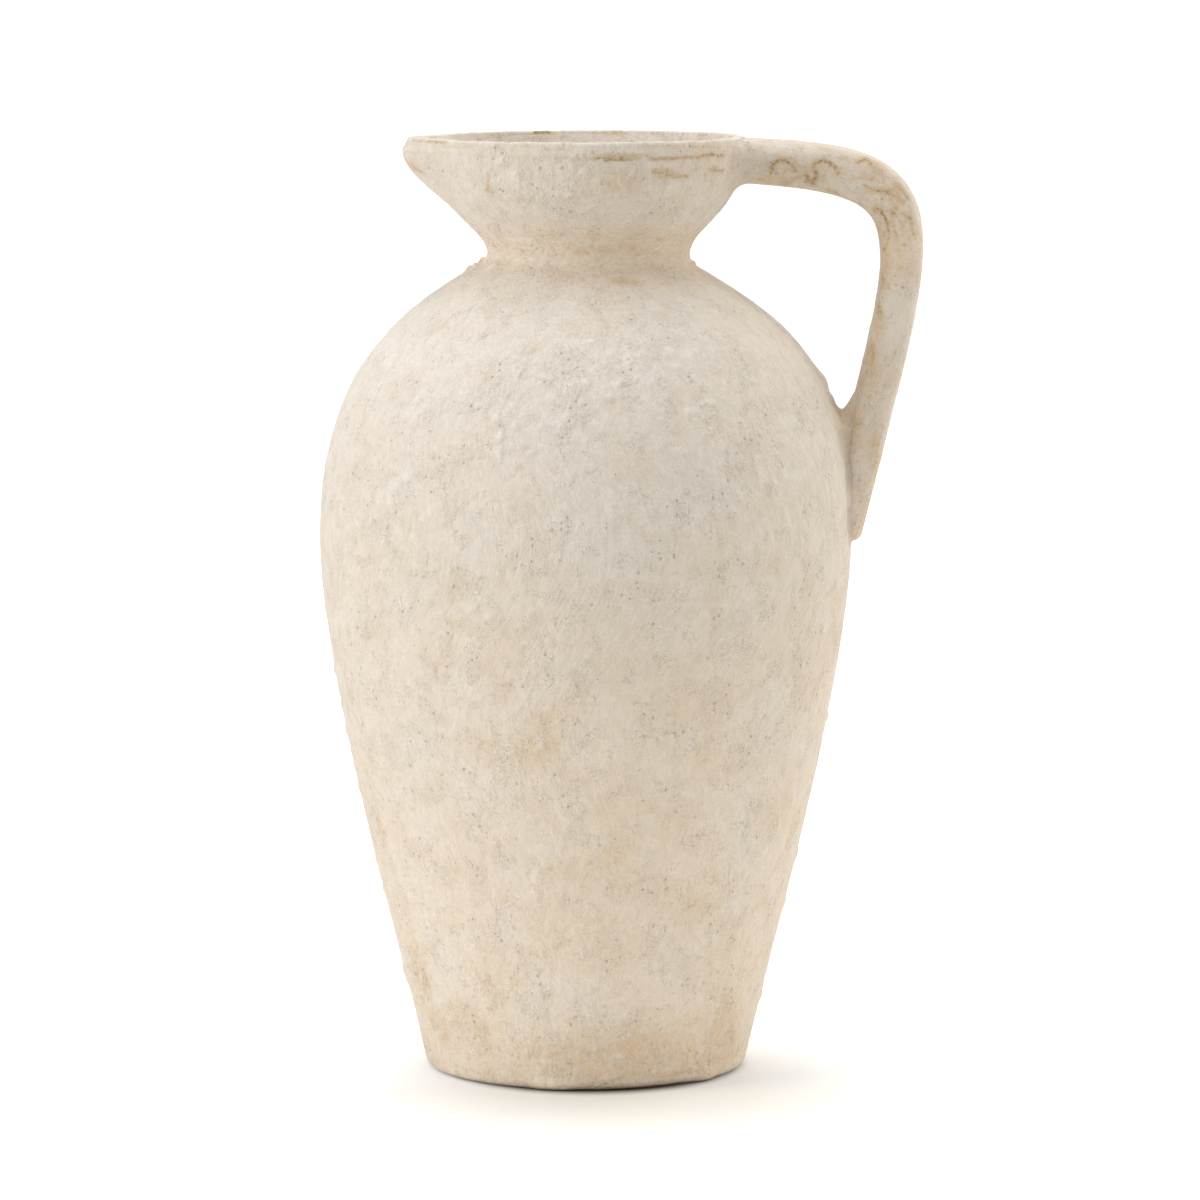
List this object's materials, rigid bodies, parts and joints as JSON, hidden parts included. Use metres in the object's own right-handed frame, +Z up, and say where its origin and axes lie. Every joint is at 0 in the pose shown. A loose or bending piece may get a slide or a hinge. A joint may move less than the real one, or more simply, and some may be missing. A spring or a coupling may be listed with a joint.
{
  "type": "jug vase",
  "caption": "Tall terracotta jug vase with a swelling shoulder, a pinched neck, a flared mouth with a small spout and one strap handle.",
  "frame": {"origin": "on the pot's axis, at the middle of the flat underside of the foot", "axes": "+Z up along the axis the pot was thrown on, +X towards the handle, -X towards the spout, -Y towards the viewer of the front"},
  "size_m": [0.2943, 0.26, 0.457],
  "materials": {
    "limewashed_clay": "chalky cream coat over fired terracotta, dry and matt",
    "bare_clay": "bare fired terracotta, matt"
  },
  "bodies": {
    "root": {"floor_slab": "limewashed_clay", "lower_wall": "limewashed_clay", "shoulder_wall": "limewashed_clay", "neck_collar": "limewashed_clay", "rim_coil": "limewashed_clay", "strap_handle": "limewashed_clay", "root_seat_coil": "limewashed_clay", "tail_seat_coil": "limewashed_clay", "floor_seam_coil": "bare_clay", "belt_seam_coil": "bare_clay", "neck_seam_coil": "bare_clay"}
  },
  "joints": []
}
